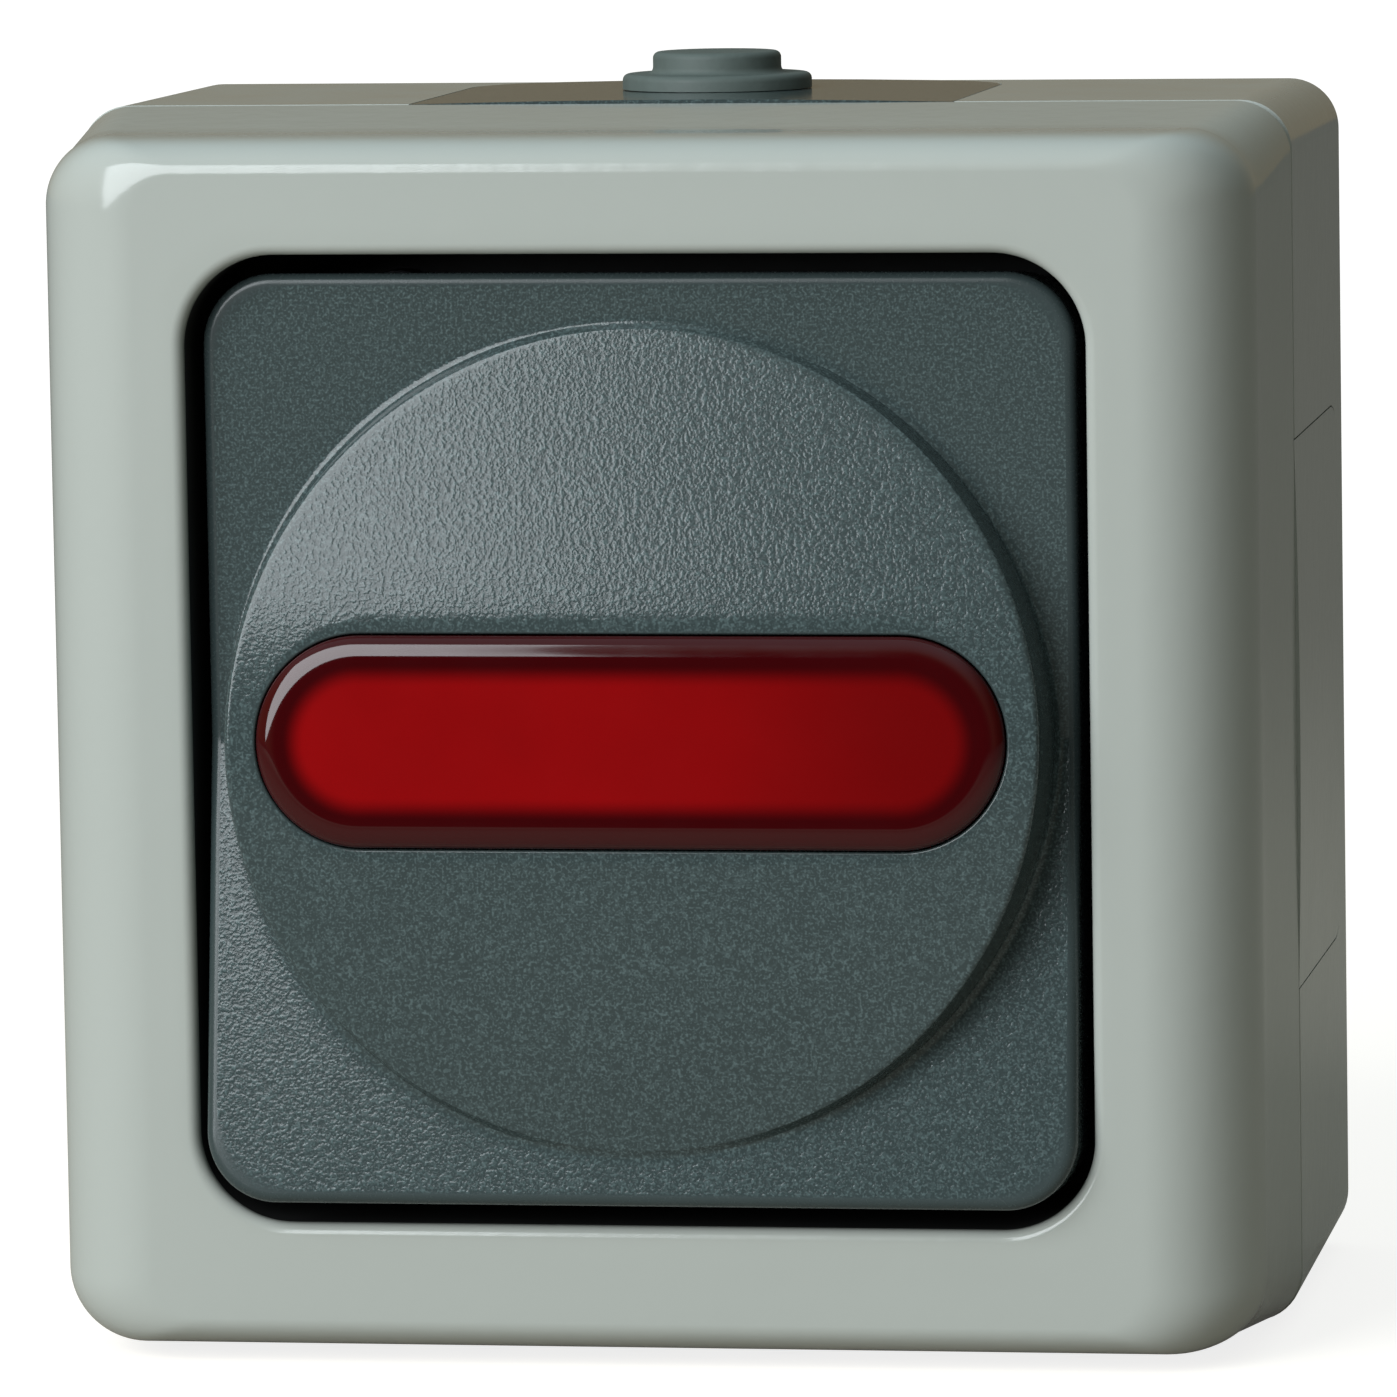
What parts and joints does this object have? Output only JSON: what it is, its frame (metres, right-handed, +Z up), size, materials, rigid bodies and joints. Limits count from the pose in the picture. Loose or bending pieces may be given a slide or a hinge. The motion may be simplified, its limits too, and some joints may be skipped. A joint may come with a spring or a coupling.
{
  "type": "pilot light switch",
  "caption": "Square surface-mounted pilot light switch with a tilting rocker, a long red lens and a top cable entry.",
  "frame": {"origin": "centre of the base's rear face, which lies on the wall", "axes": "+X right, +Y into the wall, so the front faces -Y, +Z up"},
  "size_m": [0.0754, 0.0522, 0.0774],
  "materials": {
    "housing_grey": "glossy light grey moulded plastic",
    "dark_plastic": "fine-grained dark blue-grey plastic",
    "dark_rubber": "soft dark grey rubber",
    "black_rubber": "matt black rubber",
    "red_lens": "clear red plastic, rounded rim",
    "white_thermoset": "ivory thermoset moulding",
    "grey_plastic": "grey moulded plastic",
    "zinc_steel": "zinc-plated steel",
    "brass": "plain brass",
    "copper_alloy": "spring copper strip",
    "spring_steel": "spring wire",
    "lamp_glass": "small glass lamp",
    "resistor_body": "ceramic resistor body"
  },
  "bodies": {
    "housing": {"base_housing": "housing_grey", "blank_plate_left": "housing_grey", "blank_plate_right": "housing_grey", "bridge_screws": "zinc_steel", "cable_entry_plate": "dark_plastic", "cable_grommet": "dark_rubber", "cover_screws": "zinc_steel", "earth_screw": "zinc_steel", "earth_terminal": "brass", "frame_screws": "zinc_steel", "frame_seal": "black_rubber", "front_frame": "housing_grey", "glow_lamp": "lamp_glass", "insert_base": "white_thermoset", "insert_cover": "white_thermoset", "lamp_holder": "white_thermoset", "lamp_resistor": "resistor_body", "line_contact": "brass", "load_contact": "brass", "neutral_strip": "brass", "splash_seal": "black_rubber", "support_bridge": "zinc_steel", "terminal_blocks": "brass", "terminal_screws": "zinc_steel"},
    "rocker": {"rocker_cap": "dark_plastic", "lens": "red_lens", "rocker_cradle": "grey_plastic", "plunger_spring": "spring_steel"},
    "plunger": {"plunger": "white_thermoset"},
    "contact_lever": {"contact_lever": "copper_alloy"}
  },
  "joints": [
    {"name": "rocker_tilt", "type": "hinge", "parent": "housing", "child": "rocker", "pos_m": [0, -0.0434, 0.0003], "axis": [1, 0, 0], "range_deg": [0, 9]},
    {"name": "lever_tilt", "type": "hinge", "parent": "housing", "child": "contact_lever", "pos_m": [0, -0.0215, 0.0003], "axis": [1, 0, 0], "range_deg": [-16.2, 0.2]},
    {"name": "plunger_press", "type": "slide", "parent": "rocker", "child": "plunger", "axis": [0, -0.9969, 0.0785], "range_m": [0, 0.0012], "stiffness_N_per_m": 250, "springref_m": -0.002, "deforming": ["plunger_spring"]}
  ],
  "couplings": [
    {"joint": "lever_tilt", "follows": "rocker_tilt", "ratio": -1.7778}
  ]
}
